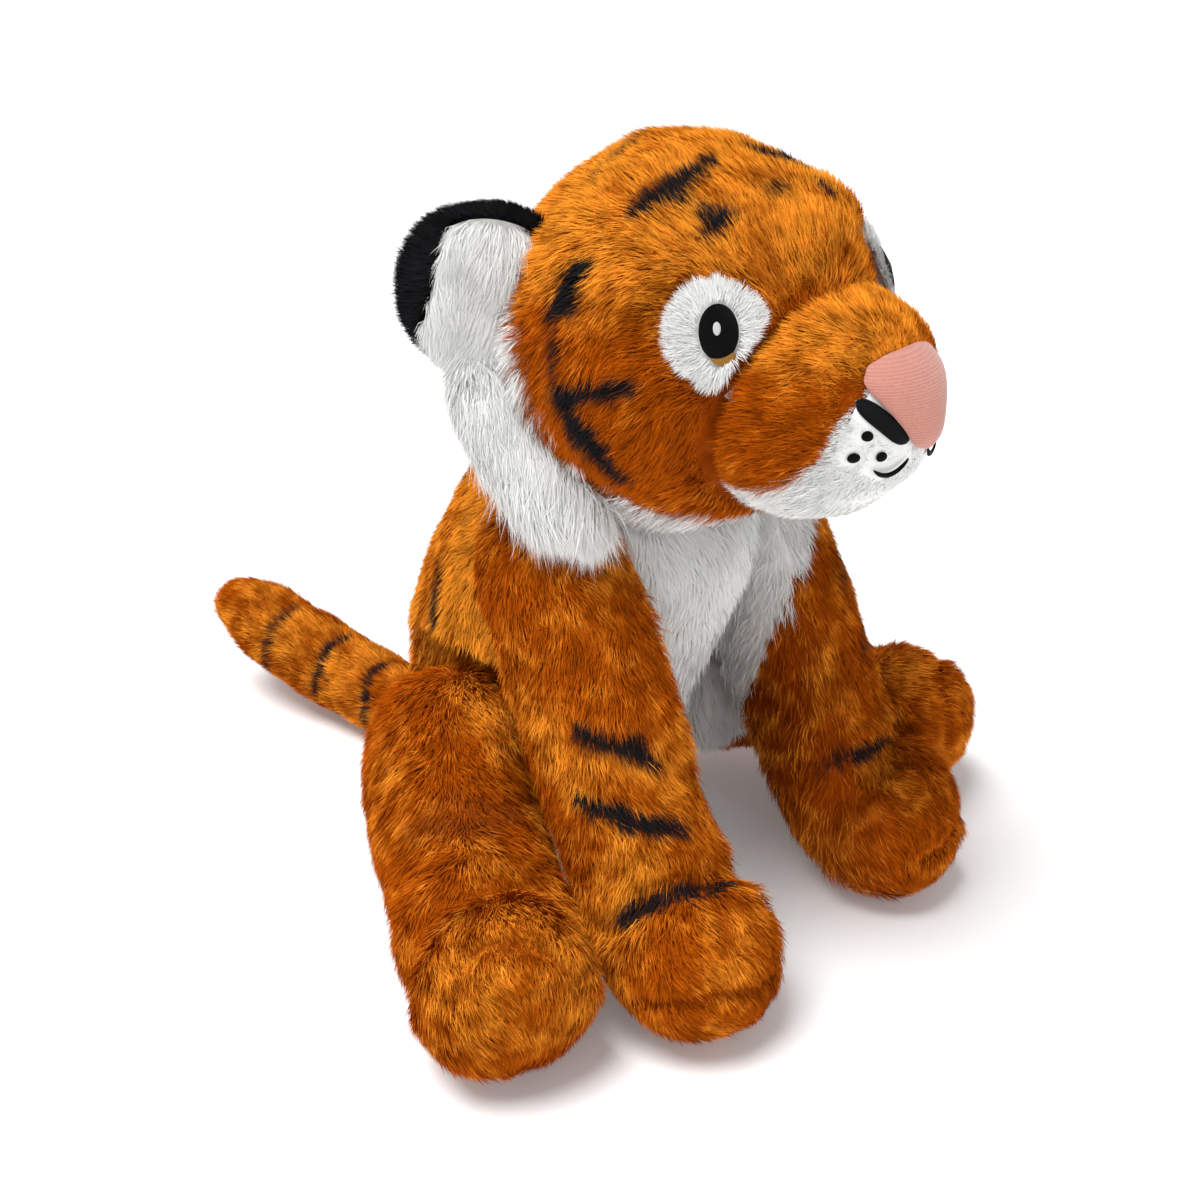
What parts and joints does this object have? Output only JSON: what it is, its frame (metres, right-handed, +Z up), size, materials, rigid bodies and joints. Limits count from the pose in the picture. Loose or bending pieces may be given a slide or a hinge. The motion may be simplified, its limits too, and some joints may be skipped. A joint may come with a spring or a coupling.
{
  "type": "plush tiger",
  "caption": "Seated soft toy tiger with a turning, nodding head, hinged legs and ears, and a swinging tail, long striped pile and embroidered face.",
  "frame": {"origin": "middle of the flat seat, on the floor", "axes": "+Z up, -Y the way the tiger faces, +X its left side"},
  "size_m": [0.251, 0.3055, 0.2471],
  "materials": {
    "orange_pile": "matte",
    "white_pile": "matte",
    "black_pile": "matte",
    "pink_nap": "matte",
    "black_thread": "matte",
    "amber_thread": "matte",
    "white_thread": "matte",
    "fibre_filling": "matte",
    "pellet_cloth": "matte"
  },
  "bodies": {
    "torso": {"torso_cover": "orange_pile", "torso_stuffing": "fibre_filling", "pellet_bag": "pellet_cloth", "chest_bib": "white_pile"},
    "neck": {"neck_stuffing": "fibre_filling"},
    "head": {"head_cover": "orange_pile", "head_stuffing": "fibre_filling", "muzzle_cover": "orange_pile", "muzzle_stuffing": "fibre_filling", "chin_panel": "white_pile", "nose_patch": "pink_nap", "cheek_ruff_right": "white_pile", "eye_patch_right": "white_pile", "eye_black_right": "black_thread", "eye_amber_right": "amber_thread", "eye_highlight_right": "white_thread", "lip_band_right": "black_thread", "mouth_line_right": "black_thread", "whisker_dot_right_1": "black_thread", "whisker_dot_right_2": "black_thread", "whisker_dot_right_3": "black_thread", "cheek_ruff_left": "white_pile", "eye_patch_left": "white_pile", "eye_black_left": "black_thread", "eye_amber_left": "amber_thread", "eye_highlight_left": "white_thread", "lip_band_left": "black_thread", "mouth_line_left": "black_thread", "whisker_dot_left_1": "black_thread", "whisker_dot_left_2": "black_thread", "whisker_dot_left_3": "black_thread"},
    "tail": {"tail_cover": "orange_pile", "tail_stuffing": "fibre_filling"},
    "ear_right": {"ear_back_right": "black_pile", "ear_front_right": "white_pile"},
    "foreleg_right": {"foreleg_cover_right": "orange_pile", "foreleg_stuffing_right": "fibre_filling"},
    "hind_leg_right": {"hind_leg_cover_right": "orange_pile", "hind_leg_stuffing_right": "fibre_filling"},
    "ear_left": {"ear_back_left": "black_pile", "ear_front_left": "white_pile"},
    "foreleg_left": {"foreleg_cover_left": "orange_pile", "foreleg_stuffing_left": "fibre_filling"},
    "hind_leg_left": {"hind_leg_cover_left": "orange_pile", "hind_leg_stuffing_left": "fibre_filling"}
  },
  "joints": [
    {"name": "neck_turn", "type": "hinge", "parent": "torso", "child": "neck", "pos_m": [0, -0.044, 0.1495], "axis": [0, 0, 1], "range_deg": [-12, 12], "stiffness_Nm_per_rad": 0.3},
    {"name": "neck_nod", "type": "hinge", "parent": "neck", "child": "head", "pos_m": [0, -0.044, 0.1495], "axis": [1, 0, 0], "range_deg": [-5, 2], "stiffness_Nm_per_rad": 0.4},
    {"name": "tail_swing", "type": "hinge", "parent": "torso", "child": "tail", "pos_m": [0, 0.043, 0.022], "axis": [0, 0, 1], "range_deg": [-20, 20], "stiffness_Nm_per_rad": 0.05},
    {"name": "foreleg_swing_right", "type": "hinge", "parent": "torso", "child": "foreleg_right", "pos_m": [-0.028, -0.0345, 0.129], "axis": [-1, 0, 0], "range_deg": [0, 15], "stiffness_Nm_per_rad": 0.25},
    {"name": "hind_leg_lift_right", "type": "hinge", "parent": "torso", "child": "hind_leg_right", "pos_m": [-0.036, -0.005, 0.05], "axis": [-1, 0, 0], "range_deg": [0, 12], "stiffness_Nm_per_rad": 0.3},
    {"name": "ear_fold_right", "type": "hinge", "parent": "head", "child": "ear_right", "pos_m": [-0.0445, -0.0313, 0.207], "axis": [-0.255, 0.186, -0.9489], "range_deg": [-10, 8], "stiffness_Nm_per_rad": 0.01},
    {"name": "foreleg_swing_left", "type": "hinge", "parent": "torso", "child": "foreleg_left", "pos_m": [0.028, -0.0345, 0.129], "axis": [-1, 0, 0], "range_deg": [0, 15], "stiffness_Nm_per_rad": 0.25},
    {"name": "hind_leg_lift_left", "type": "hinge", "parent": "torso", "child": "hind_leg_left", "pos_m": [0.036, -0.005, 0.05], "axis": [-1, 0, 0], "range_deg": [0, 12], "stiffness_Nm_per_rad": 0.3},
    {"name": "ear_fold_left", "type": "hinge", "parent": "head", "child": "ear_left", "pos_m": [0.0445, -0.0313, 0.207], "axis": [-0.255, -0.186, 0.9489], "range_deg": [-10, 8], "stiffness_Nm_per_rad": 0.01}
  ]
}
